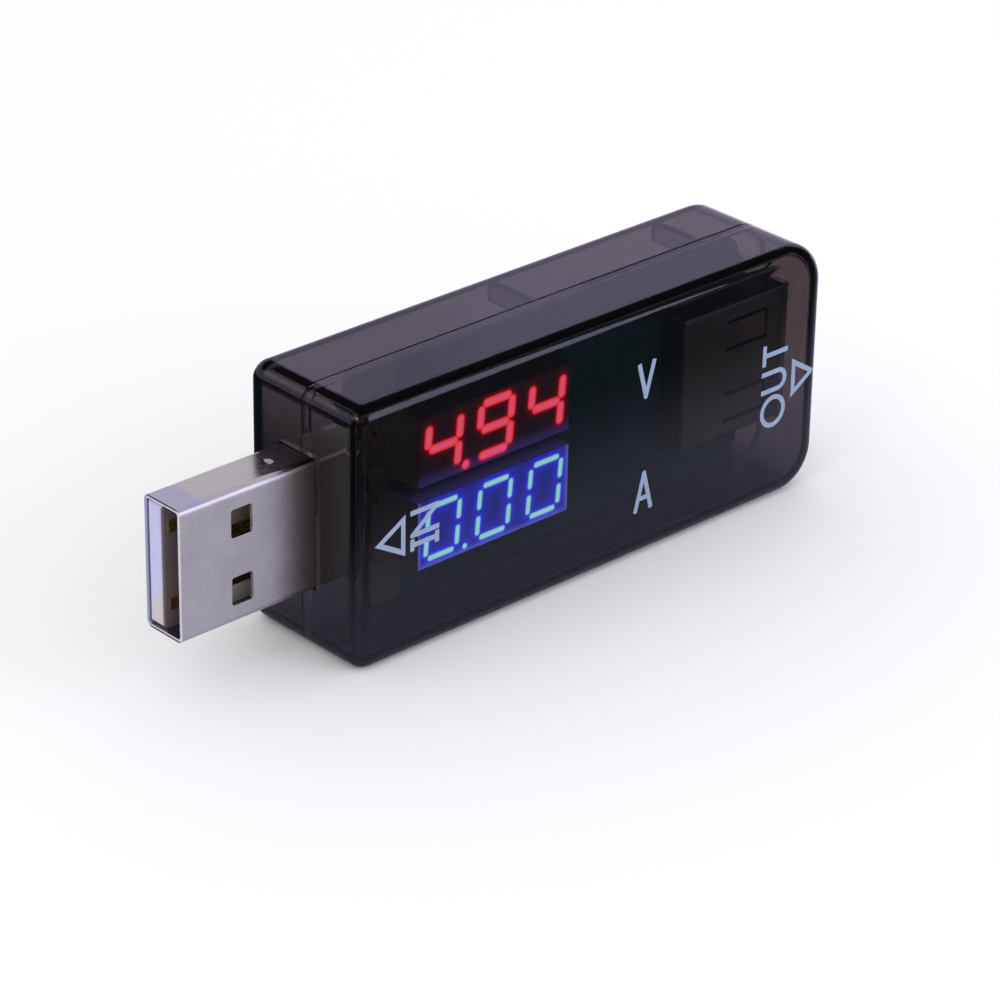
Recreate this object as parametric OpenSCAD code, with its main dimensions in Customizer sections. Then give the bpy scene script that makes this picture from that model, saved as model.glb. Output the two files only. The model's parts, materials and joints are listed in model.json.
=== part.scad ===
/* [Housing] */
// Length of the housing, from the plug end to the socket end
body_l = 54.2; // [54:0.1:58]
// Depth of the housing, from the display face to the back face
body_d = 14; // [14:0.1:16]
// Height of the housing
body_h = 23.8; // [23.8:0.1:26]
// Corner radius of the display face's outline at the plug end
plug_end_r = 1.65; // [1.5:0.05:2]
// Corner radius of the display face's outline at the socket end
socket_end_r = 4; // [3.6:0.1:4.4]
// Radius on the edges of the display face and the back face
edge_r = 1.45; // [1.3:0.05:1.6]
// Wall thickness of both covers
wall = 1.2; // [1.1:0.05:1.3]

/* [Plug] */
// How far the plug stands out of the housing
plug_reach = 13.9; // [13:0.1:14.5]
// Width of the plug's shell
plug_w = 12; // [12:0.05:12.1]
// Thickness of the plug's shell
plug_t = 4.5; // [4.5:0.05:4.6]
// Sheet thickness of both connector shells
sheet = 0.3; // [0.28:0.01:0.32]

/* [Socket] */
// Outer width of the socket's shell
socket_w = 13.1; // [13:0.05:13.2]
// Outer thickness of the socket's shell
socket_t = 5.7; // [5.6:0.05:5.8]
// Length of the socket's shell
socket_l = 12.5; // [12.4:0.1:12.8]
// How far the socket's mouth lies behind the housing's end face
socket_recess = 0.9; // [0.6:0.1:1]

/* [Displays] */
// Width of one three-digit display
display_w = 17; // [16.8:0.1:17.4]
// Height of one three-digit display
display_h = 6.3; // [6.2:0.1:6.8]
// Distance between the middles of the two rows
row_pitch = 7.6; // [7.5:0.1:7.8]
// Distance between neighbouring digits
digit_pitch = 5.75; // [5.6:0.05:5.8]
// Width of a digit, between the middles of its upright bars
digit_w = 3.45; // [3.3:0.05:3.5]
// Height of a digit, between the middles of its top and bottom bars
digit_h = 4.7; // [4.5:0.05:4.75]
// Width of a display bar
bar_w = 0.7; // [0.5:0.02:0.74]
// Lean of the digits, in degrees
digit_lean = 4.75; // [3:0.25:6]

/* [Board] */
// Thickness of the circuit board
board_t = 1.2; // [1.2:0.05:1.3]

/* [Hidden] */
$fn = 64;
big = 200;
hair = 0.05;

// The frame: X runs from the plug to the socket, Y from the display face to the back, Z up.
// Every module is written from the housing's plug end (x = 0) and its underside (z = 0).
total_l = body_l + plug_reach;
body_x = plug_reach - total_l / 2;
axis_z = body_h / 2;
board_y = 0;
board_back = board_y + board_t;
plug_y = board_y + board_t / 2;
socket_y = plug_y - 0.25;

// Joint between the covers: a lip on the rear cover stands in a rebate of the front cover.
lip_t = 0.55;
lip_h = 0.6;
rib_t = 0.9;
rib_reach = 1.6;
rib_x = [26.1, 45.7];

// Displays
display_gap = 1;
display_front = -body_d / 2 + wall + display_gap;
base_t = 1;
base_inset = 0.3;
display_x = 16.3;
volts_z = axis_z + 5.3;
row_z = [volts_z, volts_z - row_pitch];
volts_row = 0;
amps_row = 1;
pin_side = 0.45;
pin_pitch = 2.54;
pins_per_row = 6;
pin_row_gap = 5.08;
pin_length = 2.6;
dot_r = 0.43;
die_side = 0.28;
die_t = 0.12;

// Board outline
board_left = 5.4;
board_right = 50.4;
board_margin = 0.25;
notch_left = body_l - socket_recess - socket_l - 0.25;
notch_w = socket_w + 0.5;
tab_reach = 2.2;
tab_w = 2.4;

// Connector insides
plug_back = 4.9;
tongue_t = 1.75;
tongue_r = 0.35;
shell_end_r = 1;
contact_t = 0.25;
contact_w = 1;
contact_z = [-3.5, -1, 1, 3.5];
hole_from_tip = 5.16;
hole_l = 2.2;
hole_w = 2.55;
hole_r = 0.25;
hole_spacing = 6.12;
dimple_r = 0.75;
dimple_depth = 0.2;
dimple_x = [-3.1, 2];
socket_mouth = body_l - socket_recess;
socket_back = socket_mouth - socket_l;
socket_tongue_t = 1.84;
socket_tongue_l = 8.55;

// Colours
smoke = [0.22, 0.22, 0.25, 0.55];
steel = "silver";
gold = "goldenrod";
tin = "lightgray";

// ---------- helpers ----------

// A box given by its two corners
module span(low, high) {
  translate(low) cube(high - low);
}

// A cylinder along +Y
module rod_y(r, from, to) {
  translate([0, to, 0]) rotate([90, 0, 0]) cylinder(r = r, h = to - from);
}

// A rectangle l by h with one corner at the origin, with radius rl on its left corners and rr on its right
module end_rounded(l, h, rl, rr) {
  translate([rl, 0]) square([l - rl - rr, h]);
  translate([0, rl]) square([l / 2, h - 2 * rl]);
  translate([l / 2, rr]) square([l / 2, h - 2 * rr]);
  for (z = [rl, h - rl]) translate([rl, z]) circle(r = rl);
  for (z = [rr, h - rr]) translate([l - rr, z]) circle(r = rr);
}

// A plate lying in XZ, from y = from to y = to
module plate_y(from, to) {
  translate([0, to, 0]) rotate([90, 0, 0]) linear_extrude(to - from) children();
}

// Half of a section w deep and r wide, whose outer corners have radius er
module half_section(r, w, er) {
  translate([0, -w / 2]) square([r - er, w]);
  translate([0, er - w / 2]) square([r, w - 2 * er]);
  for (y = [er - w / 2, w / 2 - er]) translate([r - er, y]) circle(r = er);
}

// A round corner post of the housing: its axis lies along Y through [x, z]
module corner_post(x, z, r, w, er) {
  translate([x, 0, z]) rotate([90, 0, 0]) rotate_extrude() intersection() {
    half_section(r, w, er);
    translate([0, -w]) square([2 * r, 2 * w]);
  }
}

// The straight end of the housing between its corner posts, from x = 0 towards +X
module end_slab(r, from, to, w, er) {
  translate([r, 0, from]) linear_extrude(to - from) mirror([1, 0]) half_section(r, w, er);
}

// The housing's outer form, pulled in by d on every side
module housing_form(d) {
  er = max(edge_r - d, 0.3);
  rl = max(plug_end_r - d, 0.45);
  rr = socket_end_r - d;
  l = body_l - 2 * d;
  w = body_d - 2 * d;
  h = body_h - 2 * d;
  translate([d, 0, d]) {
    translate([rl, 0, 0]) rotate([90, 0, 90]) linear_extrude(l - rl - rr)
      translate([-w / 2, 0]) end_rounded(w, h, er, er);
    end_slab(rl, rl, h - rl, w, er);
    translate([l, 0, 0]) mirror([1, 0, 0]) end_slab(rr, rr, h - rr, w, er);
    for (z = [rl, h - rl]) corner_post(rl, z, rl, w, er);
    for (z = [rr, h - rr]) corner_post(l - rr, z, rr, w, er);
  }
}

// The ways through the end walls for the plug and the socket
module end_openings() {
  span([-1, plug_y - plug_t / 2 - hair, axis_z - plug_w / 2 - hair],
       [wall + 1, plug_y + plug_t / 2 + hair, axis_z + plug_w / 2 + hair]);
  span([body_l - wall - 1, socket_y - socket_t / 2 - hair, axis_z - socket_w / 2 - hair],
       [body_l + 1, socket_y + socket_t / 2 + hair, axis_z + socket_w / 2 + hair]);
}

// A pair of ribs at x, one on the top wall and one on the bottom wall, from y = from to y = to
module rib_pair(x, from, to) {
  for (z = [[wall, wall + rib_reach], [body_h - wall - rib_reach, body_h - wall]])
    span([x - rib_t / 2, from, z[0]], [x + rib_t / 2, to, z[1]]);
}

// ---------- covers ----------

module front_cover() {
  color(smoke) difference() {
    housing_form(0);
    housing_form(wall);
    intersection() {
      housing_form(wall - lip_t - hair);
      span([-big, -lip_h - hair, -big], [big, big, big]);
    }
    span([-big, 0, -big], [big, big, big]);
    end_openings();
  }
}

module rear_cover() {
  color(smoke) union() {
    difference() {
      housing_form(0);
      housing_form(wall);
      span([-big, -big, -big], [big, hair, big]);
      end_openings();
    }
    difference() {
      intersection() {
        housing_form(wall - lip_t);
        span([-big, -lip_h, -big], [big, hair, big]);
      }
      housing_form(wall);
      end_openings();
    }
    for (x = rib_x)
      rib_pair(x, board_back + hair, body_d / 2 - wall);
  }
}

// ---------- printing on the display face ----------

ink_t = 0.03;
ink_w = 0.45;
cap_h = 3.15;
arrow_h = 3.8;

// A stroke of ink between two points of the face
module stroke(a, b) {
  d = b - a;
  translate(a) rotate(atan2(d[1], d[0])) translate([0, -ink_w / 2]) square([norm(d), ink_w]);
}

// Strokes through a list of points, with round joints a little wider than the strokes
module strokes(points) {
  for (i = [0 : len(points) - 2]) stroke(points[i], points[i + 1]);
  for (i = [1 : len(points) - 2]) translate(points[i]) circle(d = 1.05 * ink_w);
}

// An outlined arrowhead of length l with its tip at the origin, pointing to -X
module arrowhead(l) {
  outline = [[0, 0], [l, arrow_h / 2], [l, -arrow_h / 2]];
  inner_r = l * arrow_h / (arrow_h + 2 * norm([l, arrow_h / 2]));
  difference() {
    polygon(outline);
    translate([l - inner_r, 0]) scale(1 - ink_w / inner_r) translate([inner_r - l, 0]) polygon(outline);
  }
}

// Letters of the two end words, in a plane where x runs along the word and y is up, from y = 0 to cap_h
module letter_i() {
  low = ink_w / 2;
  top = cap_h - ink_w / 2;
  stroke([0, low], [0, top]);
  for (y = [low, top]) stroke([-0.55, y], [0.55, y]);
}

module letter_n(w) {
  low = ink_w / 2;
  top = cap_h - ink_w / 2;
  strokes([[0, 0], [0, top], [w, low], [w, cap_h]]);
}

module letter_o() {
  translate([0, cap_h / 2]) difference() {
    circle(d = cap_h);
    circle(d = cap_h - 2 * ink_w);
  }
}

module letter_u(w) {
  r = (w + ink_w) / 2;
  for (x = [0, w]) stroke([x, r], [x, cap_h]);
  translate([w / 2, r]) difference() {
    circle(r = r);
    circle(r = r - ink_w);
    translate([-big, 0]) square(2 * big);
  }
}

module letter_t(w) {
  stroke([0, cap_h - ink_w / 2], [w, cap_h - ink_w / 2]);
  stroke([w / 2, 0], [w / 2, cap_h]);
}

// Unit letters, with the middle of the letter's foot at the origin
module letter_v() {
  strokes([[-0.9, 3.1], [0, -0.15], [0.9, 3.1]]);
}

module letter_a() {
  strokes([[-0.95, -0.1], [0, 3.5], [0.95, -0.1]]);
  stroke([-0.62, 1.15], [0.62, 1.15]);
}

// Where the marks stand on the face, as [x, z]: the arrowheads' tips, the feet of the end words' first
// letters and the feet of the unit letters
in_arrow = [1.75, axis_z - 0.5];
out_arrow = [body_l - 0.8, axis_z - 0.5];
in_word = [8.75, axis_z - 1.7];
out_word = [49.8, axis_z - 3];
volts_mark = [32.3, axis_z + 3.6];
amps_mark = [32.4, axis_z - 7.4];

// Everything printed on the face, in XZ: the end words read upwards
module printing() {
  translate(in_arrow) arrowhead(3.3);
  translate(out_arrow) mirror([1, 0]) arrowhead(2.95);
  translate(in_word) rotate(90) {
    letter_i();
    translate([0.9, 0]) letter_n(2.05);
  }
  translate(out_word) rotate(90) {
    letter_o();
    translate([2.1, 0]) letter_u(1.75);
    translate([4.65, 0]) letter_t(2);
  }
  translate(volts_mark) letter_v();
  translate(amps_mark) letter_a();
}

// The ink lies on the face and wraps a little way round its edge
module printed_marks() {
  color("lightsteelblue") difference() {
    intersection() {
      housing_form(-ink_t);
      plate_y(-body_d / 2 - 1, -body_d / 2 + 0.5) printing();
    }
    housing_form(0);
  }
}

// ---------- displays ----------

// What each row of the display shows: for each digit the seven bars from the top one clockwise, then the
// middle one, and last the dot after the digit
reading = [
  [[0, 1, 1, 0, 0, 1, 1, 1], [1, 1, 1, 1, 0, 1, 1, 0], [0, 1, 1, 0, 0, 1, 1, 0]],
  [[1, 1, 1, 1, 1, 1, 0, 1], [1, 1, 1, 1, 1, 1, 0, 0], [1, 1, 1, 1, 1, 1, 0, 0]]];

// The seven bars of a digit round the origin, as pairs of end points
bar_gap = 0.1;
function digit_bars() =
  let (x = digit_w / 2, y = digit_h / 2, g = bar_gap)
  [[[-x + g, y], [x - g, y]], [[x, y - g], [x, g]], [[x, -g], [x, -y + g]],
   [[-x + g, -y], [x - g, -y]], [[-x, -g], [-x, -y + g]], [[-x, y - g], [-x, g]],
   [[-x + g, 0], [x - g, 0]]];

// Leans a point of the display face with the digits
function lean(p) = [p[0] + p[1] * tan(digit_lean), p[1]];
dot_at = lean([digit_w / 2, -digit_h / 2]) + [0.95, -0.2];

// The six corners of a display bar between two points, with pointed ends
function bar_points(a, b) =
  let (d = (b - a) / norm(b - a), n = [-d[1], d[0]] * bar_w / 2, tip = d * bar_w / 2)
  [a, a + tip + n, b - tip + n, b, b - tip - n, a + tip - n];

// The middle of each bar and of the dot of a digit, in the order of the reading
function light_points() = concat([for (b = digit_bars()) lean((b[0] + b[1]) / 2)], [dot_at]);

// Where each digit's middle lies along its row
digit_x = [for (i = [-1, 0, 1]) i * digit_pitch];

// The bars and dots in plan: those of one row whose entry in the reading is among wanted
module bars_plan(row, wanted) {
  bars = digit_bars();
  for (digit = [0 : 2], k = [0 : 7]) if (len(search(reading[row][digit][k], wanted)) > 0)
    translate([digit_x[digit], 0]) {
      if (k < 7) polygon([for (p = bar_points(bars[k][0], bars[k][1])) lean(p)]);
      else translate(dot_at) circle(r = dot_r, $fn = 24);
    }
}

// Places children at the middle of every bar and dot of a row
module at_lights(row) {
  for (x = digit_x, p = light_points())
    translate([display_x + x + p[0], board_y - base_t, row_z[row] + p[1]]) children();
}

module die() {
  span([-die_side / 2, -die_t, -die_side / 2], [die_side / 2, 0, die_side / 2]);
}

// The opaque block of a display, with a channel for every bar
module display_case(row) {
  translate([display_x, 0, row_z[row]]) difference() {
    span([-display_w / 2, display_front, -display_h / 2], [display_w / 2, board_y - base_t, display_h / 2]);
    plate_y(display_front - 1, board_y) bars_plan(row, [0, 1]);
  }
}

// The clear casting that fills the channels of the lit bars or the unlit ones, down to the dies
module display_bars(row, wanted) {
  difference() {
    translate([display_x, 0, row_z[row]]) plate_y(display_front, board_y - base_t) bars_plan(row, wanted);
    at_lights(row) die();
  }
}

module display_dies(row) {
  color("gold") at_lights(row) die();
}

module display_base(row) {
  color("darkseagreen")
    translate([display_x, 0, row_z[row]])
      span([-display_w / 2 + base_inset, board_y - base_t, -display_h / 2 + base_inset],
           [display_w / 2 - base_inset, board_y, display_h / 2 - base_inset]);
}

// Places children at each pin of a display
module at_pins(row) {
  for (side = [-1, 1], i = [0 : pins_per_row - 1])
    translate([display_x + (i - (pins_per_row - 1) / 2) * pin_pitch, 0, row_z[row] + side * pin_row_gap / 2])
      children();
}

module display_pins(row) {
  color(tin) at_pins(row)
    span([-pin_side / 2, board_y, -pin_side / 2], [pin_side / 2, board_y + pin_length, pin_side / 2]);
}

module volts_display_case() color([0.12, 0.1, 0.12]) display_case(volts_row);
module volts_display_lit_bars() color("crimson") display_bars(volts_row, [1]);
module volts_display_unlit_bars() color([0.3, 0.2, 0.22]) display_bars(volts_row, [0]);
module volts_display_dies() display_dies(volts_row);
module volts_display_base() display_base(volts_row);
module volts_display_pins() display_pins(volts_row);
module amps_display_case() color([0.16, 0.16, 0.45]) display_case(amps_row);
module amps_display_lit_bars() color("aquamarine") display_bars(amps_row, [1]);
module amps_display_unlit_bars() color([0.2, 0.22, 0.5]) display_bars(amps_row, [0]);
module amps_display_dies() display_dies(amps_row);
module amps_display_base() display_base(amps_row);
module amps_display_pins() display_pins(amps_row);

// ---------- circuit board and what is on it ----------

pin_hole_r = 0.4;

// The slots in the board's edge that the plug's side tabs stand in
module tab_slots() {
  for (side = [0, 1]) translate([0, 0, axis_z]) mirror([0, 0, side])
    span([board_left - 1, board_y - 1, plug_w / 2 - sheet - hair],
         [plug_back + tab_reach + 0.2, board_back + 1, plug_w / 2 + hair]);
}

module circuit_board() {
  edge = wall + board_margin;
  color([0.05, 0.25, 0.2]) difference() {
    plate_y(board_y, board_back) difference() {
      translate([board_left, edge]) end_rounded(board_right - board_left, body_h - 2 * edge, 0.5, 2.2);
      translate([notch_left, axis_z - notch_w / 2]) square([big, notch_w]);
    }
    tab_slots();
    for (row = [volts_row, amps_row]) at_pins(row) rod_y(pin_hole_r, board_y - 1, board_back + 1);
  }
}

// A round solder fillet on the board's back, with a square hole for a pin
module pin_fillet() {
  difference() {
    translate([0, board_back, 0]) rotate([-90, 0, 0]) cylinder(r1 = 0.75, r2 = 0.35, h = 0.7, $fn = 24);
    span([-pin_side / 2, 0, -pin_side / 2], [pin_side / 2, 10, pin_side / 2]);
  }
}

// A low bead of solder over a tail that lies on the board's front or back
module tail_bead(x, z, from, to) {
  span([x, from, z - 0.75], [x + 1.5, to, z + 0.75]);
}

tail_l = 2.2;
module board_solder() {
  color(tin) {
    for (row = [volts_row, amps_row]) at_pins(row) pin_fillet();
    for (z = contact_z) {
      difference() {
        tail_bead(plug_back + 1, axis_z + z, board_y - 0.45, board_y);
        span([0, board_y - contact_t, axis_z + z - contact_w / 2],
             [plug_back + tail_l, board_y, axis_z + z + contact_w / 2]);
      }
      difference() {
        tail_bead(socket_back - 2.2, axis_z + z, board_back, board_back + 0.45);
        span([socket_back - tail_l, board_back, axis_z + z - contact_w / 2],
             [socket_back, board_back + contact_t, axis_z + z + contact_w / 2]);
      }
    }
    for (side = [0, 1]) translate([0, 0, axis_z]) mirror([0, 0, side])
      span([wing_x + 0.4, board_back + sheet, notch_w / 2 + 0.1],
           [wing_x + wing_l - 0.4, board_back + sheet + 0.25, socket_w / 2 + wing_reach - 0.2]);
  }
}

// The controller on the board's back, a chip with two rows of gull-wing leads
chip_h = 1.5;
chip_gap = 0.12;
chip_x = 31.5;
chip_z = axis_z + 0.2;
chip_l = 9.9;
chip_w = 3.9;
lead_pitch = 1.27;
lead_w = 0.42;
lead_t = 0.22;
leads_per_side = 8;
lead_span = 6;

module controller_chip() {
  color([0.12, 0.12, 0.13]) difference() {
    span([chip_x - chip_l / 2, board_back + chip_gap, chip_z - chip_w / 2],
         [chip_x + chip_l / 2, board_back + chip_gap + chip_h, chip_z + chip_w / 2]);
    translate([chip_x - chip_l / 2 + 1.1, 0, chip_z - chip_w / 2 + 1.1])
      rod_y(0.4, board_back + chip_gap + chip_h - 0.12, board_back + 5);
  }
}

// A gull-wing lead from a chip's side at height rise above the board, out to its foot at reach
module gull_lead(reach, rise) {
  translate([-lead_w / 2, board_back, 0]) rotate([90, 0, 90]) linear_extrude(lead_w)
    polygon([[rise, 0], [rise, 0.3], [0, reach - 0.6], [0, reach], [lead_t, reach],
             [lead_t, reach - 0.45], [rise + lead_t, 0.45], [rise + lead_t, 0]]);
}

module controller_leads() {
  color(tin) for (side = [0, 1], i = [0 : leads_per_side - 1])
    translate([chip_x + (i - (leads_per_side - 1) / 2) * lead_pitch, 0, chip_z]) mirror([0, 0, side])
      translate([0, 0, chip_w / 2]) gull_lead((lead_span - chip_w) / 2, chip_gap + chip_h / 2);
}

reg_x = 29.5;
reg_z = axis_z + 7.4;
reg_w = 4.5;
reg_h = 2.5;
reg_t = 1.5;
reg_lead_t = 0.35;
reg_lead_w = 0.44;
reg_lead_pitch = 1.5;
reg_tab_w = 1.8;

module regulator_chip() {
  color([0.13, 0.13, 0.14])
    span([reg_x - reg_w / 2, board_back + reg_lead_t, reg_z - reg_h / 2],
         [reg_x + reg_w / 2, board_back + reg_t, reg_z + reg_h / 2]);
}

// Three leads below the regulator and a wide tab above it
module regulator_leads() {
  color(tin) translate([reg_x, board_back, reg_z]) {
    for (x = [-reg_lead_pitch, 0, reg_lead_pitch])
      span([x - reg_lead_w / 2, 0, -reg_h / 2 - 0.9], [x + reg_lead_w / 2, reg_lead_t, -reg_h / 2 + 0.4]);
    span([-reg_tab_w / 2, 0, reg_h / 2 - 0.4], [reg_tab_w / 2, reg_lead_t, reg_h / 2 + 0.5]);
  }
}

// Two-ended parts on the board's back, each given as [x, z, length, width, height, length of an end cap]

shunts = [[34.5, 4.2, 6.3, 3.1, 0.9, 0.8]];
resistors = [for (i = [0 : 4]) [27.4 + i * 2.9, axis_z - 4.9, 1.6, 0.8, 0.5, 0.3]];
side_resistors = [for (i = [0 : 2]) [35.3, axis_z + 6 + i * 1.5, 1.6, 0.8, 0.5, 0.3]];
capacitors = [[38.3, axis_z + 7.4, 2, 1.25, 0.9, 0.4], [28.2, 3.6, 2, 1.25, 0.9, 0.4],
  [29.1, 5.5, 1.6, 0.8, 0.8, 0.3], [7.6, axis_z, 1.6, 0.8, 0.8, 0.3]];

// The bodies of such parts, between their end caps
module chip_bodies(parts) {
  for (p = parts) {
    l = p[2] / 2 - p[5];
    span([p[0] - l, board_back, p[1] - p[3] / 2], [p[0] + l, board_back + p[4], p[1] + p[3] / 2]);
  }
}

// Their end caps
module chip_caps(parts) {
  for (p = parts, side = [0, 1])
    translate([p[0], 0, 0]) mirror([side, 0, 0])
      span([p[2] / 2 - p[5], board_back, p[1] - p[3] / 2], [p[2] / 2, board_back + p[4], p[1] + p[3] / 2]);
}

module shunt_resistor() color([0.1, 0.1, 0.1]) chip_bodies(shunts);
module shunt_terminals() color(tin) chip_caps(shunts);
module small_resistors() color([0.08, 0.08, 0.09]) chip_bodies(concat(resistors, side_resistors));
module small_capacitors() color([0.6, 0.48, 0.33]) chip_bodies(capacitors);
module small_part_terminals() color(tin) chip_caps(concat(resistors, side_resistors, capacitors));

// ---------- plug ----------

corner_r = 0.6;

// The outline of a connector shell in YZ, w along Z and t along Y, round the origin
module shell_outline(w, t, r) {
  translate([-t / 2, -w / 2]) end_rounded(t, w, r, r);
}

// A bar with that outline along X
module shell_bar(w, t, r, from, to) {
  translate([from, 0, 0]) rotate([90, 0, 90]) linear_extrude(to - from) shell_outline(w, t, r);
}

// The plug's form pulled in by d on every side but its tip
module plug_form(d, tip) {
  t = plug_t - 2 * d;
  intersection() {
    shell_bar(plug_w - 2 * d, t, corner_r - d, tip, plug_back - d);
    translate([tip - 1, -t / 2, -plug_w]) linear_extrude(2 * plug_w)
      end_rounded(plug_back - d - tip + 1, t, corner_r - d, shell_end_r - d);
  }
}

// A drawn shell: its inner end is rounded and has a wide opening for the contacts' tails
module plug_shell() {
  color(steel) translate([0, plug_y, axis_z]) {
    difference() {
      plug_form(0, -plug_reach);
      plug_form(sheet, -plug_reach - 1);
      span([plug_back - 1, shell_end_r - plug_t / 2, shell_end_r - plug_w / 2],
           [plug_back + 1, plug_t / 2 - shell_end_r, plug_w / 2 - shell_end_r]);
      for (side = [-1, 1])
        translate([-plug_reach + hole_from_tip, 0, side * hole_spacing / 2 - hole_w / 2])
          plate_y(-plug_t, plug_t) end_rounded(hole_l, hole_w, hole_r, hole_r);
      for (x = dimple_x, side = [-1, 1])
        translate([x, 0, side * (plug_w / 2 + dimple_r - dimple_depth)]) sphere(r = dimple_r);
    }
    for (side = [0, 1]) mirror([0, 0, side])
      span([plug_back - 0.01, -tab_w / 2, plug_w / 2 - sheet],
           [plug_back + tab_reach, tab_w / 2, plug_w / 2]);
  }
}

// The white tongue, which carries the contacts on its front, and the block behind it
module plug_insulator() {
  inside_t = plug_t - 2 * sheet - 2 * hair;
  inside_w = plug_w - 2 * sheet - 2 * hair;
  inside_r = corner_r - sheet - hair;
  tongue_l = block_start + plug_reach;
  color("white") translate([0, plug_y, axis_z]) difference() {
    union() {
      intersection() {
        shell_bar(inside_w, inside_t, inside_r, -plug_reach, block_start + 0.5);
        translate([-plug_reach, inside_t / 2 - tongue_t, -plug_w]) linear_extrude(2 * plug_w)
          end_rounded(2 * tongue_l, tongue_t, tongue_r, tongue_r);
        translate([-plug_reach, 0, -inside_w / 2]) plate_y(-plug_t, plug_t)
          end_rounded(2 * tongue_l, inside_w, 2 * tongue_r, 2 * tongue_r);
      }
      shell_bar(inside_w, inside_t, inside_r, block_start, block_end);
    }
    for (i = [0 : 3]) plug_contact_room(i);
  }
}

block_start = -1.5;
block_end = plug_back - shell_end_r;
tail_start = block_end - contact_t;

// How far in from the tip each contact starts: the power pair leads the data pair by 1 mm
function contact_start(i) = -plug_reach + ((i == 0 || i == 3) ? 0.7 : 1.7);

contact_y = plug_t / 2 - sheet - hair - tongue_t;

// The space that a contact fills in the insulator
module plug_contact_room(i) {
  span([contact_start(i), contact_y - contact_t / 2, contact_z[i] - contact_w / 2],
       [plug_back, contact_y + contact_t / 2, contact_z[i] + contact_w / 2]);
  span([tail_start, -board_t / 2 - contact_t, contact_z[i] - contact_w / 2],
       [plug_back, contact_y + contact_t / 2, contact_z[i] + contact_w / 2]);
}

// A strip along the tongue, a step at the back and a tail that lies on the board's front
module plug_contact(i) {
  color(gold) translate([0, plug_y, axis_z]) {
    span([contact_start(i), contact_y - contact_t / 2, contact_z[i] - contact_w / 2],
         [block_end, contact_y + contact_t / 2, contact_z[i] + contact_w / 2]);
    span([tail_start, -board_t / 2 - contact_t, contact_z[i] - contact_w / 2],
         [block_end, contact_y + contact_t / 2, contact_z[i] + contact_w / 2]);
    span([tail_start, -board_t / 2 - contact_t, contact_z[i] - contact_w / 2],
         [plug_back + tail_l, -board_t / 2, contact_z[i] + contact_w / 2]);
  }
}

module plug_power_contact() plug_contact(0);
module plug_data_minus_contact() plug_contact(1);
module plug_data_plus_contact() plug_contact(2);
module plug_ground_contact() plug_contact(3);

// ---------- socket ----------

spring_w = 2.6;
spring_l = 5.2;
spring_slot_w = 0.35;
spring_end = 2.1;
spring_z = 3.5;
wing_l = 3;
wing_reach = 1.6;
wing_x = socket_back + 3;

// The slot round a spring in the shell's wide sides: its free end points out of the socket
module spring_slot() {
  for (side = [-1, 1])
    span([-spring_l, -1, side * spring_w / 2 - spring_slot_w / 2],
         [0, 1, side * spring_w / 2 + spring_slot_w / 2]);
  span([-spring_slot_w, -1, -spring_w / 2], [0, 1, spring_w / 2]);
}

module socket_shell() {
  wing_y = board_back - socket_y;
  color(steel) translate([0, socket_y, axis_z]) {
    difference() {
      shell_bar(socket_w, socket_t, corner_r, socket_back, socket_mouth);
      shell_bar(socket_w - 2 * sheet, socket_t - 2 * sheet, corner_r - sheet,
                socket_back - 1, socket_mouth + 1);
      for (side = [-1, 1], z = [-spring_z, spring_z])
        translate([socket_mouth - spring_end, side * (socket_t - sheet) / 2, z]) spring_slot();
    }
    for (side = [0, 1]) mirror([0, 0, side])
      span([wing_x, wing_y, socket_w / 2 - sheet / 2],
           [wing_x + wing_l, wing_y + sheet, socket_w / 2 + wing_reach]);
  }
}

socket_inside_t = socket_t - 2 * sheet - 2 * hair;
socket_inside_w = socket_w - 2 * sheet - 2 * hair;
socket_block_l = 2.5;
socket_block_back = socket_back + 0.1;
socket_tongue_w = 11.1;
socket_tongue_front = 0.4 - socket_inside_t / 2;
socket_contact_y = socket_tongue_front + socket_tongue_t;
socket_contact_back = socket_back + 0.3;
socket_contact_l = 10.1;
socket_tail_y = board_back - socket_y;

// The block at the back of the socket and the tongue that reaches towards its mouth
module socket_insulator() {
  tongue_back = socket_block_back + socket_block_l;
  color([0.1, 0.1, 0.11]) translate([0, socket_y, axis_z]) difference() {
    union() {
      span([socket_block_back, -socket_inside_t / 2, -socket_inside_w / 2 + 0.2],
           [tongue_back, socket_inside_t / 2, socket_inside_w / 2 - 0.2]);
      span([tongue_back, socket_tongue_front, -socket_tongue_w / 2],
           [tongue_back + socket_tongue_l, socket_contact_y, socket_tongue_w / 2]);
    }
    for (i = [0 : 3]) socket_contact_room(i);
  }
}

// The space that a contact fills in the insulator
module socket_contact_room(i) {
  translate([socket_contact_back, 0, contact_z[i] - contact_w / 2]) {
    span([-1, socket_contact_y - contact_t / 2, 0],
         [socket_contact_l + 0.6, socket_contact_y + contact_t / 2, contact_w]);
    span([-1, socket_contact_y - contact_t / 2, 0], [sheet, socket_tail_y + contact_t + 0.1, contact_w]);
  }
}

// A strip along the socket's tongue, a step at the back and a tail that lies on the board's back
module socket_contact(i) {
  color(gold) translate([0, socket_y, axis_z + contact_z[i] - contact_w / 2]) {
    span([socket_contact_back, socket_contact_y - contact_t / 2, 0],
         [socket_contact_back + socket_contact_l, socket_contact_y + contact_t / 2, contact_w]);
    span([socket_contact_back, socket_contact_y - contact_t / 2, 0],
         [socket_contact_back + sheet, socket_tail_y + contact_t, contact_w]);
    span([socket_back - tail_l, socket_tail_y, 0],
         [socket_contact_back + sheet, socket_tail_y + contact_t, contact_w]);
  }
}

module socket_power_contact() socket_contact(0);
module socket_data_minus_contact() socket_contact(1);
module socket_data_plus_contact() socket_contact(2);
module socket_ground_contact() socket_contact(3);

// ---------- output ----------

module place() translate([body_x, 0, 0]) children();

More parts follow.
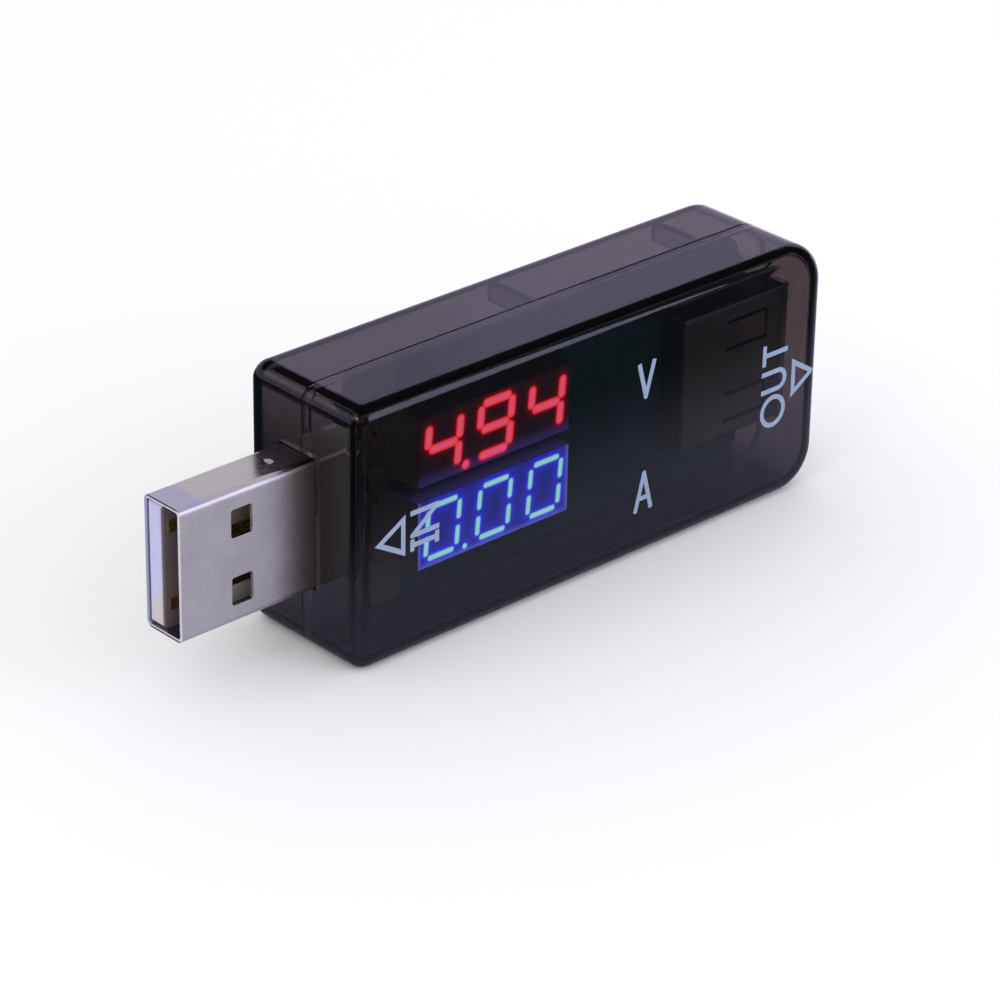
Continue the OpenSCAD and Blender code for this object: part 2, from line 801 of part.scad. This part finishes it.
place() front_cover();
place() rear_cover();
place() printed_marks();
place() volts_display_case();
place() volts_display_lit_bars();
place() volts_display_unlit_bars();
place() volts_display_dies();
place() volts_display_base();
place() volts_display_pins();
place() amps_display_case();
place() amps_display_lit_bars();
place() amps_display_unlit_bars();
place() amps_display_dies();
place() amps_display_base();
place() amps_display_pins();
place() circuit_board();
place() board_solder();
place() controller_chip();
place() controller_leads();
place() regulator_chip();
place() regulator_leads();
place() shunt_resistor();
place() shunt_terminals();
place() small_resistors();
place() small_capacitors();
place() small_part_terminals();
place() plug_shell();
place() plug_insulator();
place() plug_power_contact();
place() plug_data_minus_contact();
place() plug_data_plus_contact();
place() plug_ground_contact();
place() socket_shell();
place() socket_insulator();
place() socket_power_contact();
place() socket_data_minus_contact();
place() socket_data_plus_contact();
place() socket_ground_contact();
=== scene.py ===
import json
import math

import bmesh
import bpy
from mathutils import Matrix, Vector


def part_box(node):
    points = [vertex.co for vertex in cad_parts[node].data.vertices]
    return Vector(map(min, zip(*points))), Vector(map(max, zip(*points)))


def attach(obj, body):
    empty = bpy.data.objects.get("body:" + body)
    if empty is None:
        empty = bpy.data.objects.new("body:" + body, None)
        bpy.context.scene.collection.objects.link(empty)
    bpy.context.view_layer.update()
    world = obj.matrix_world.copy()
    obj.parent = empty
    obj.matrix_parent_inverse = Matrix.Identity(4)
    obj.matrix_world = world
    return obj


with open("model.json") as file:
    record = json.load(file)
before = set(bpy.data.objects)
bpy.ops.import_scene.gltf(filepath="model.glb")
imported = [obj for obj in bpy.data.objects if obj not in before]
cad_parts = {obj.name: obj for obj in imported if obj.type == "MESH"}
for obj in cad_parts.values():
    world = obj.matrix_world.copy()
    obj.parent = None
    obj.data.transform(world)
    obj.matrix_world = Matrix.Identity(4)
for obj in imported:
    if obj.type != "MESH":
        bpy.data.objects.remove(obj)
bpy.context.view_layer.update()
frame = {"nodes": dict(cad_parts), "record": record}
nodes = frame["nodes"]
MM = 0.001
WHITE = (1, 1, 1)
BLACK = (0, 0, 0)

# Places on the object, in millimetres
HOUSING_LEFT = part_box("front_cover")[0].x / MM
PLUG_LOW, PLUG_HIGH = (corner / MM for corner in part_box("plug_shell"))
PLUG_MIDDLE = (PLUG_LOW + PLUG_HIGH) / 2


# ---------- camera ----------

# Lengths in millimetres and angles in degrees
SENSOR = 36
LENS = 143.46
AIM_FROM_LEFT_END = 22.1
AIM_HEIGHT = 6.15
DISTANCE = 341.1
AZIMUTH = -43.15
ELEVATION = 27.24
ROLL = 1.01


def look_from(target, azimuth, elevation, roll, distance):
    """A camera matrix that looks at target. Azimuth 0 looks along +Y, and roll turns the camera
    anticlockwise."""
    a, e, r = (math.radians(angle) for angle in (azimuth, elevation, roll))
    back = Vector((math.sin(a) * math.cos(e), -math.cos(a) * math.cos(e), math.sin(e)))
    level = Vector((0, 0, 1)).cross(back).normalized()
    upright = back.cross(level)
    right = math.cos(r) * level + math.sin(r) * upright
    up = back.cross(right)
    turn = Matrix((right, up, back)).transposed()
    return Matrix.Translation(target + back * distance) @ turn.to_4x4()


def add_camera():
    camera_data = bpy.data.cameras.new("camera")
    camera_data.sensor_width = SENSOR
    camera_data.lens = LENS
    camera_data.clip_start = 0.01
    camera_data.clip_end = 20
    camera = bpy.data.objects.new("camera", camera_data)
    bpy.context.scene.collection.objects.link(camera)
    target = Vector((HOUSING_LEFT + AIM_FROM_LEFT_END, 0, AIM_HEIGHT)) * MM
    camera.matrix_world = look_from(target, AZIMUTH, ELEVATION, ROLL, DISTANCE * MM)
    bpy.context.scene.camera = camera


# ---------- shader helpers ----------

class Nodes:
    """Builds the nodes of one material, or of the world, with short calls."""

    def __init__(self, owner, output="OutputMaterial"):
        owner.use_nodes = True
        self.owner = owner
        self.tree = owner.node_tree
        self.tree.nodes.clear()
        self.output = self.tree.nodes.new("ShaderNode" + output)

    @classmethod
    def material(cls, name):
        return cls(bpy.data.materials.new(name))

    def add(self, kind, inputs=None, **settings):
        node = self.tree.nodes.new("ShaderNode" + kind)
        for key, value in settings.items():
            setattr(node, key, value)
        for key, value in (inputs or {}).items():
            self.put(node.inputs[key], value)
        return node

    def put(self, socket, value):
        if isinstance(value, bpy.types.NodeSocket):
            self.tree.links.new(value, socket)
        elif socket.type == "RGBA":
            socket.default_value = (*value, 1)
        else:
            socket.default_value = value

    def place(self, scale=1.0):
        """Object coordinates in millimetres, times scale."""
        coords = self.add("TexCoord").outputs["Object"]
        size = scale / MM
        return self.add("Mapping", {"Vector": coords, "Scale": (size, size, size)}).outputs["Vector"]

    def spot(self):
        """The X, Y and Z of the point being shaded, in millimetres."""
        return self.add("SeparateXYZ", {0: self.place()}).outputs

    def noise(self, vector, detail=3.0, rough=0.5):
        node = self.add("TexNoise", {"Vector": vector, "Scale": 1.0, "Detail": detail, "Roughness": rough})
        return node.outputs["Fac"]

    def remap(self, value, low, high, to_low=0.0, to_high=1.0, smooth=False):
        kind = "SMOOTHSTEP" if smooth else "LINEAR"
        inputs = {0: value, 1: low, 2: high, 3: to_low, 4: to_high}
        return self.add("MapRange", inputs, interpolation_type=kind).outputs[0]

    def spread(self, noise, low=0.0, high=1.0):
        """Noise from low to high. Most of it lies between 0.3 and 0.7 before this."""
        return self.remap(noise, 0.3, 0.7, low, high)

    def blend(self, factor, first, second):
        """A colour between first and second, which are inputs 6 and 7 of the Mix node."""
        return self.add("Mix", {0: factor, 6: first, 7: second}, data_type="RGBA").outputs[2]

    def maths(self, operation, *values):
        return self.add("Math", dict(enumerate(values)), operation=operation).outputs[0]

    def vector(self, operation, *values, output="Vector"):
        return self.add("VectorMath", dict(enumerate(values)), operation=operation).outputs[output]

    def facing(self, direction, low=0.6, high=0.8):
        """How far the surface faces a world direction: 0 below low, 1 above high."""
        normal = self.add("NewGeometry").outputs["Normal"]
        along = self.vector("DOT_PRODUCT", normal, direction, output="Value")
        return self.remap(along, low, high, smooth=True)

    def bump(self, height, distance):
        """A normal for a surface raised by height times distance, in millimetres."""
        return self.add("Bump", {"Height": height, "Distance": distance * MM}).outputs["Normal"]

    def join(self, shader, socket="Surface"):
        self.tree.links.new(shader.outputs[0], self.output.inputs[socket])
        return self.owner

    def finish(self, inputs):
        return self.join(self.add("BsdfPrincipled", inputs))


# ---------- materials ----------

# Emission strength of the displays' lit bars and of the films over them
GLOW = 3.0


def smoked_plastic():
    """Glossy see-through smoke-grey moulding: the tint deepens with the depth of plastic looked through. At
    the covers' joint, y = 0, the rear one stands a hair proud of the front one."""
    step_width = 0.18
    step_height = 0.08
    wave_height = 0.02
    n = Nodes.material("smoked_plastic")
    waves = n.noise(n.place(0.12), detail=1)
    step = n.remap(n.spot()["Y"], -step_width / 2, step_width / 2, 0, step_height)
    n.join(n.add("VolumeAbsorption", {"Color": (0.23, 0.16, 0.14), "Density": 1200}), "Volume")
    return n.finish({
        "Base Color": WHITE,
        "Roughness": 0.0,
        "IOR": 1.58,
        "Transmission Weight": 1.0,
        "Normal": n.bump(n.maths("MULTIPLY_ADD", waves, wave_height, step), 1.0),
    })


def metal(name, colour, dark, rough_low, rough_high):
    """Plated metal with a fine grain and a few darker patches."""
    n = Nodes.material(name)
    patches = n.noise(n.place(0.35), detail=4)
    grain = n.noise(n.place(7.5), detail=5, rough=0.7)
    return n.finish({
        "Base Color": n.blend(n.spread(patches), dark, colour),
        "Metallic": 1.0,
        "Roughness": n.spread(grain, rough_low, rough_high),
        "Normal": n.bump(grain, 0.002),
    })


def plug_steel():
    """Satin plated sheet with a sheared rim at the tip. Painted shade darkens it towards the housing and
    inside it, and painted reflections and highlights tint its top, bend and rim.
    """
    n = Nodes.material("plug_steel")
    spot = n.spot()
    patches = n.noise(n.place(0.35), detail=4)
    grain = n.noise(n.place(3.5), detail=5, rough=0.65)
    top = n.facing((0, 0, 1))

    # Outside the housing: painted shade darkens the sheet towards the housing and makes the top darker than
    # the sides, and a painted lilac reflection tints the top at the tip
    colour = n.blend(n.spread(patches), (0.53, 0.51, 0.58), (0.60, 0.575, 0.65))
    shaded = n.remap(spot["X"], HOUSING_LEFT - 5, HOUSING_LEFT - 0.5, smooth=True)
    colour = n.blend(shaded, colour, (0.34, 0.285, 0.285))
    colour = n.blend(top, colour, n.blend(shaded, (0.42, 0.385, 0.43), (0.24, 0.17, 0.16)))
    painted_lilac_tip = n.remap(spot["X"], PLUG_LOW.x + 2.4, PLUG_LOW.x + 2.7, 1, 0)
    colour = n.blend(n.maths("MULTIPLY", top, painted_lilac_tip), colour, (0.36, 0.34, 0.49))

    # Inside the housing: painted shade makes the sheet nearly black, and a painted highlight brightens only
    # the bend between the front and the top
    housed = n.remap(spot["X"], HOUSING_LEFT - 0.2, HOUSING_LEFT + 0.4, smooth=True)
    bend_highlight = n.facing((0, -0.7, 0.7), 0.86, 0.96)
    housed_shade = n.blend(top, (0.065, 0.055, 0.055), (0.009, 0.008, 0.009))
    colour = n.blend(housed, colour, n.blend(bend_highlight, housed_shade, (0.8, 0.6, 0.57)))

    # The rim, with a painted bluish reflection at the back and painted shade at its top and bottom
    off_middle = n.maths("ABSOLUTE", n.maths("SUBTRACT", spot["Z"], PLUG_MIDDLE.z))
    half_height = PLUG_HIGH.z - PLUG_MIDDLE.z
    brow_shade = n.remap(off_middle, half_height - 0.18, half_height - 0.12)
    back = n.remap(spot["Y"], PLUG_HIGH.y - 0.4, PLUG_HIGH.y - 0.3)
    rim = n.blend(back, (0.9, 0.9, 0.98), (0.50, 0.48, 0.78))
    rim = n.blend(brow_shade, rim, (0.06, 0.045, 0.04))
    colour = n.blend(n.facing((-1, 0, 0)), colour, rim)

    mottle = n.blend(n.remap(grain, 0.35, 0.65), (0.88, 0.88, 0.88), WHITE)
    rough = n.spread(grain, 0.34, 0.46)
    return n.finish({
        "Base Color": n.vector("MULTIPLY", colour, mottle),
        "Metallic": 1.0,
        # Painted shade: the sheet's reflections are dimmed inside the housing
        "Specular Tint": n.blend(housed, WHITE, (0.1, 0.08, 0.08)),
        "Roughness": n.maths("SUBTRACT", rough, n.maths("MULTIPLY", top, 0.22)),
        "Normal": n.bump(grain, 0.002),
    })


def socket_steel():
    """Plated sheet with a brownish cast, a painted bluish reflection towards its top, and painted shade that
    makes it nearly black on top.
    """
    n = Nodes.material("socket_steel")
    patches = n.noise(n.place(0.35), detail=4)
    grain = n.noise(n.place(4), detail=4, rough=0.65)
    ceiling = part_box("socket_shell")[1].z / MM
    # Painted bluish reflection towards the top, and painted shade on the top face
    upper = n.remap(n.spot()["Z"], ceiling - 3.2, ceiling - 1, smooth=True)
    colour = n.blend(n.spread(patches), (0.50, 0.46, 0.44), (0.58, 0.53, 0.50))
    colour = n.blend(upper, colour, (0.22, 0.40, 0.66))
    return n.finish({
        "Base Color": n.blend(n.facing((0, 0, 1)), colour, (0.05, 0.06, 0.09)),
        "Metallic": 1.0,
        "Roughness": n.spread(grain, 0.35, 0.45),
        "Normal": n.bump(grain, 0.004),
    })


def green_laminate():
    """Circuit board: green solder mask, and a bare brownish strip between the displays and the plug."""
    n = Nodes.material("green_laminate")
    clouds = n.noise(n.place(0.5))
    mask = n.blend(n.spread(clouds), (0.015, 0.15, 0.19), (0.02, 0.21, 0.26))
    strip_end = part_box("volts_display_case")[0].x / MM + 2.5
    bare = n.remap(n.spot()["X"], strip_end - 0.3, strip_end, 1, 0)
    return n.finish({
        "Base Color": n.blend(bare, mask, (0.40, 0.33, 0.30)),
        "Roughness": n.spread(n.noise(n.place(10)), 0.29, 0.41),
        "Normal": n.bump(clouds, 0.004),
    })


def white_insulator():
    """White moulding with painted shade on its front, and elsewhere painted lilac light above a slanting
    line.
    """
    n = Nodes.material("white_insulator")
    spot = n.spot()
    clouds = n.noise(n.place(0.5))
    # Painted lilac light above a slanting line
    slant = n.maths("ADD", spot["Z"], n.maths("MULTIPLY", spot["Y"], 1.2))
    above = n.remap(slant, PLUG_MIDDLE.z - 1.3, PLUG_MIDDLE.z - 0.5)
    painted_lilac = n.blend(n.spread(clouds), (0.50, 0.48, 0.76), (0.54, 0.52, 0.80))
    colour = n.blend(above, (0.56, 0.51, 0.55), painted_lilac)

    # The front, in painted shade: dark near the tip, and past it lighter behind the lower hole of the shell
    # than the upper one
    upper = n.remap(spot["Z"], PLUG_MIDDLE.z - 1, PLUG_MIDDLE.z + 1)
    painted_hole_shade = n.blend(upper, (0.62, 0.62, 0.60), (0.30, 0.25, 0.22))
    past_tip = n.remap(spot["X"], PLUG_LOW.x + 4, PLUG_LOW.x + 5)
    front = n.blend(past_tip, (0.16, 0.12, 0.13), painted_hole_shade)
    return n.finish({
        "Base Color": n.blend(n.facing((0, -1, 0)), colour, front),
        "Roughness": n.spread(n.noise(n.place(6)), 0.3, 0.42),
        "Normal": n.bump(clouds, 0.01),
    })


def moulded(name, colour, dark, rough, grain=0.1, bump=0.004, alpha=1.0):
    """Opaque moulding with a little colour variation, and a fine grain of the given size and height."""
    n = Nodes.material(name)
    clouds = n.noise(n.place(0.5))
    fine = n.noise(n.place(1 / grain), detail=2)
    return n.finish({
        "Base Color": n.blend(n.spread(clouds), dark, colour),
        "Roughness": n.spread(fine, rough - 0.06, rough + 0.06),
        "Normal": n.bump(fine, bump),
        "Alpha": alpha,
    })


def display_block(name, case, colour, dark, glow):
    """A display's block: grey on its two ends, dark elsewhere, and lit on top, less so farther back."""
    n = Nodes.material(name)
    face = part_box(case)[0].y / MM
    near_face = n.remap(n.spot()["Y"], face, face + 2.2, 1, 0, smooth=True)
    clouds = n.noise(n.place(0.8))
    ends = n.maths("MAXIMUM", n.facing((-1, 0, 0)), n.facing((1, 0, 0)))
    paint = n.blend(n.spread(clouds), dark, colour)
    return n.finish({
        "Base Color": n.blend(ends, paint, (0.25, 0.215, 0.20)),
        "Roughness": n.spread(n.noise(n.place(8)), 0.42, 0.55),
        "Emission Color": glow,
        "Emission Strength": n.maths("MULTIPLY", n.facing((0, 0, 1)), near_face),
    })


def lit_casting(name, core):
    """Clear casting lit by the die behind it."""
    n = Nodes.material(name)
    clouds = n.noise(n.place(1.5), detail=2)
    return n.finish({
        "Base Color": (0.02, 0.02, 0.02),
        "Roughness": 0.4,
        "Emission Color": core,
        "Emission Strength": n.spread(clouds, GLOW * 0.92, GLOW * 1.08),
    })


# ---------- materials for every slot ----------

finishes = {
    "smoked_plastic": smoked_plastic(),
    "white_ink": moulded("white_ink", (0.42, 0.54, 0.76), (0.38, 0.49, 0.71), rough=0.5, grain=0.08,
                         bump=0.001, alpha=0.64),
    "volts_display_black": display_block("volts_display_black", "volts_display_case", (0.020, 0.012, 0.03),
                                         (0.014, 0.009, 0.02), glow=BLACK),
    "red_light": lit_casting("red_light", (1.0, 0.10, 0.16)),
    "volts_unlit_epoxy": moulded("volts_unlit_epoxy", (0.05, 0.02, 0.03), (0.04, 0.015, 0.02), rough=0.3),
    "amps_display_face": display_block("amps_display_face", "amps_display_case", (0.02, 0.02, 0.05),
                                       (0.015, 0.015, 0.04), glow=(0.05, 0.042, 0.24)),
    "blue_light": lit_casting("blue_light", (0.12, 0.55, 0.95)),
    "amps_unlit_epoxy": moulded("amps_unlit_epoxy", (0.03, 0.03, 0.1), (0.02, 0.02, 0.08), rough=0.3),
    "gold_plating": metal("gold_plating", (0.75, 0.52, 0.20), (0.6, 0.4, 0.15), 0.2, 0.35),
    "green_laminate": green_laminate(),
    "solder": metal("solder", (0.62, 0.63, 0.65), (0.5, 0.5, 0.52), 0.2, 0.4),
    "tinned_metal": metal("tinned_metal", (0.6, 0.6, 0.62), (0.5, 0.5, 0.52), 0.25, 0.4),
    "black_moulding": moulded("black_moulding", (0.035, 0.06, 0.09), (0.028, 0.048, 0.07), rough=0.55),
    "brown_ceramic": moulded("brown_ceramic", (0.22, 0.13, 0.07), (0.18, 0.1, 0.05), rough=0.4),
    "plug_steel": plug_steel(),
    "socket_steel": socket_steel(),
    "white_insulator": white_insulator(),
}
for entry in frame["record"]["subparts"]:
    node = nodes[entry["node"]]
    node.data.materials.clear()
    node.data.materials.append(finishes[entry["material_slot"]])


# ---------- display faces ----------

# The film's distance from the display's face, its thickness, and how far its edges are inside the face's
FILM_GAP = 0.01 * MM
FILM_THICKNESS = 0.03 * MM
FILM_INSET = 0.05 * MM
# How far a lit bar's bright line ends inside the bar, and the size under which a solid is a round dot
BAR_INSET = 0.44 * MM
DOT_SPAN = 1.2 * MM
# How far from the middle of a bar its light reaches, in millimetres, and its colour on the way there
REACH = 1.8
RED_STOPS = [(0, (0.80, 0.12, 0.22)), (0.20, (0.85, 0.10, 0.19)), (0.33, (1.0, 0.035, 0.07)),
             (0.40, (0.85, 0.014, 0.035)), (0.46, (0.22, 0.005, 0.010)), (0.60, (0.055, 0.002, 0.005)),
             (0.90, (0.020, 0.002, 0.005)), (REACH, (0.006, 0.003, 0.008))]
BLUE_STOPS = [(0, (0.34, 0.88, 0.78)), (0.17, (0.32, 0.82, 0.80)), (0.24, (0.16, 0.42, 0.92)),
              (0.31, (0.035, 0.06, 0.95)), (0.45, (0.018, 0.025, 0.62)), (0.75, (0.015, 0.021, 0.44)),
              (1.15, (0.012, 0.018, 0.32)), (REACH, (0.009, 0.014, 0.25))]


def islands(node):
    """The corner points of each separate solid of a CAD node."""
    body = bmesh.new()
    body.from_mesh(nodes[node].data)
    bmesh.ops.remove_doubles(body, verts=body.verts, dist=1e-6)
    waiting = set(body.verts)
    found = []
    while waiting:
        reached = [waiting.pop()]
        for vert in reached:
            for edge in vert.link_edges:
                other = edge.other_vert(vert)
                if other in waiting:
                    waiting.discard(other)
                    reached.append(other)
        found.append([vert.co.copy() for vert in reached])
    body.free()
    return found


def light_lines(node):
    """The middle line of each lit bar at the display's face, as two ends. A dot's ends are in one place."""
    lines = []
    for points in islands(node):
        face = min(p.y for p in points)
        rim = [p for p in points if p.y < face + FILM_GAP]
        first, last = max(((p, q) for p in rim for q in rim), key=lambda pair: (pair[0] - pair[1]).length)
        length = (last - first).length
        inset = (last - first) * (0.5 if length < DOT_SPAN else BAR_INSET / length)
        lines.append((first + inset, last - inset))
    return lines


def distance_to_lines(n, lines):
    """Nodes for the distance in millimetres from the point being shaded to the nearest line."""
    spot = n.add("TexCoord").outputs["Object"]
    flat = n.vector("MULTIPLY", spot, (1 / MM, 0, 1 / MM))
    nearest = None
    for first, last in lines:
        start = Vector((first.x, 0, first.z)) / MM
        run = Vector((last.x, 0, last.z)) / MM - start
        offset = n.vector("SUBTRACT", flat, tuple(start))
        if run.length > 0.01:
            share = n.vector("DOT_PRODUCT", offset, tuple(run / run.length_squared), output="Value")
            share = n.add("Clamp", {"Value": share}).outputs[0]
            step = n.add("VectorMath", {0: tuple(run), "Scale": share}, operation="SCALE").outputs[0]
            offset = n.vector("SUBTRACT", offset, step)
        distance = n.vector("LENGTH", offset, output="Value")
        nearest = distance if nearest is None else n.maths("MINIMUM", nearest, distance)
    return nearest


def halo(n, distance, stops):
    """The colour at a distance from the nearest lit line, from the stops (distance, colour)."""
    node = n.add("ValToRGB", {"Fac": n.maths("DIVIDE", distance, REACH)})
    elements = node.color_ramp.elements
    for place, colour in stops[1:-1]:
        elements.new(place / REACH).color = (*colour, 1)
    elements[0].color = (*stops[0][1], 1)
    elements[-1].color = (*stops[-1][1], 1)
    return node.outputs["Color"]


def glowing_film(display, stops, dark, edges, glow):
    """A diffusing film lit from behind by a display's bars. glow lights its edges, each given as
    (axis, side, width): side is 1 for the high side and -1 for the low one, and width is in millimetres."""
    n = Nodes.material(display + "_film")
    low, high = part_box(display + "_display_case")
    spot = n.spot()
    lines = light_lines(display + "_display_lit_bars")
    light = halo(n, distance_to_lines(n, lines), stops)
    rim = None
    for axis, side, width in edges:
        place = (high if side > 0 else low)["XYZ".index(axis)] / MM
        near = n.remap(spot[axis], place - side * width, place, smooth=True)
        rim = near if rim is None else n.maths("MAXIMUM", rim, near)
    return n.finish({
        "Base Color": dark,
        "Roughness": n.spread(n.noise(n.place(8)), 0.4, 0.55),
        "Emission Color": n.vector("ADD", light, n.blend(rim, BLACK, glow)),
        "Emission Strength": GLOW,
    })


def add_film(display, material):
    """A thin film over a display's face."""
    name = display + "_display_film"
    low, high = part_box(display + "_display_case")
    back = low.y - FILM_GAP
    corners = [(x, y, z)
               for x in (low.x + FILM_INSET, high.x - FILM_INSET)
               for y in (back - FILM_THICKNESS, back)
               for z in (low.z + FILM_INSET, high.z - FILM_INSET)]
    faces = [(0, 1, 3, 2), (4, 6, 7, 5), (0, 4, 5, 1), (2, 3, 7, 6), (0, 2, 6, 4), (1, 5, 7, 3)]
    mesh = bpy.data.meshes.new(name)
    mesh.from_pydata(corners, [], faces)
    film = bpy.data.objects.new(name, mesh)
    bpy.context.scene.collection.objects.link(film)
    mesh.materials.append(material)
    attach(film, "root")


red_film = glowing_film("volts", RED_STOPS, dark=(0.02, 0.012, 0.025), edges=[("Z", -1, 1.5)],
                        glow=(0.018, 0.015, 0.105))
blue_film = glowing_film("amps", BLUE_STOPS, dark=(0.05, 0.05, 0.12),
                         edges=[("X", 1, 0.7), ("Z", -1, 0.7), ("X", -1, 0.5)], glow=(0.07, 0.09, 0.25))
add_film("volts", red_film)
add_film("amps", blue_film)


# ---------- studio ----------

# Half the floor's width, and the point that the lights are turned to, in metres
FLOOR_HALF = 3.0
SOFTBOX_AIM = Vector((0, 0, 0.012))


def floor_paint():
    """Pale paint. In mirror reflections it shows painted light and shade instead: a studio that darkens away
    from the object, with a painted lit sweep behind and to the right. Glossy reflections see it darker."""
    n = Nodes.material("floor")
    path = n.add("LightPath").outputs
    spot = n.spot()
    ahead = n.maths("MULTIPLY", spot["Y"], -1)
    left = n.maths("SUBTRACT", HOUSING_LEFT + 7, spot["X"])
    close = n.remap(n.maths("MAXIMUM", ahead, left), 10, 34, 1, 0, smooth=True)
    not_behind = n.remap(spot["Y"], 8, 18, 1, 0, smooth=True)
    studio = n.blend(n.maths("MULTIPLY", close, not_behind), (0.045, 0.05, 0.07), (0.40, 0.40, 0.54))
    right = n.remap(spot["X"], -3, 14, smooth=True)
    behind = n.remap(spot["Y"], -4, 10, smooth=True)
    painted_sweep = n.blend(n.remap(spot["X"], 42, 58), (0.80, 0.72, 0.93), (1.0, 0.88, 0.98))
    mirrored = n.blend(n.maths("MULTIPLY", right, behind), studio, painted_sweep)
    seen = n.blend(path["Is Glossy Ray"], (0.95, 0.95, 0.96), (0.66, 0.64, 0.66))
    colour = n.blend(path["Is Singular Ray"], seen, mirrored)
    return n.join(n.add("BsdfDiffuse", {"Color": colour}))


def add_floor():
    mesh = bpy.data.meshes.new("floor")
    corners = [(x * FLOOR_HALF, y * FLOOR_HALF, 0) for x, y in ((-1, -1), (1, -1), (1, 1), (-1, 1))]
    mesh.from_pydata(corners, [], [(0, 1, 2, 3)])
    mesh.materials.append(floor_paint())
    floor = bpy.data.objects.new("floor", mesh)
    bpy.context.scene.collection.objects.link(floor)


def add_world():
    """White all round, except that the polished plastic mirrors a dark studio with a lit backdrop behind."""
    n = Nodes(bpy.data.worlds.new("studio"), "OutputWorld")
    bpy.context.scene.world = n.owner
    mirror_ray = n.add("LightPath").outputs["Is Singular Ray"]
    way = n.add("SeparateXYZ", {0: n.add("TexCoord").outputs["Generated"]}).outputs
    low = n.remap(way["Z"], 0.53, 0.60, 1, 0, smooth=True)
    behind = n.remap(way["Y"], 0.05, 0.35, smooth=True)
    strength = n.remap(way["X"], 0.60, 0.66, 0.84, 1.6, smooth=True)
    lit = n.maths("MULTIPLY", n.maths("MULTIPLY", low, behind), strength)
    mirrored = n.blend(lit, (0.045, 0.045, 0.055), (0.57, 0.53, 0.78))
    n.join(n.add("Background", {"Color": n.blend(mirror_ray, WHITE, mirrored), "Strength": 1.0}))


def add_softbox(name, place, size, power, colour=WHITE):
    """A square soft light at place, in metres, that points at the object."""
    data = bpy.data.lights.new(name, "AREA")
    data.shape = "SQUARE"
    data.size = size
    data.energy = power
    data.color = colour
    light = bpy.data.objects.new(name, data)
    bpy.context.scene.collection.objects.link(light)
    light.location = place
    light.rotation_euler = (SOFTBOX_AIM - Vector(place)).to_track_quat("-Z", "Y").to_euler()


add_camera()
add_floor()
add_world()
add_softbox("fill", (-0.36, -0.12, 0.36), size=0.06, power=0.08)
add_softbox("key", (0.205, -0.376, 0.214), size=0.26, power=0.42, colour=(0.72, 0.68, 1.0))
bpy.context.scene.view_settings.view_transform = "Standard"
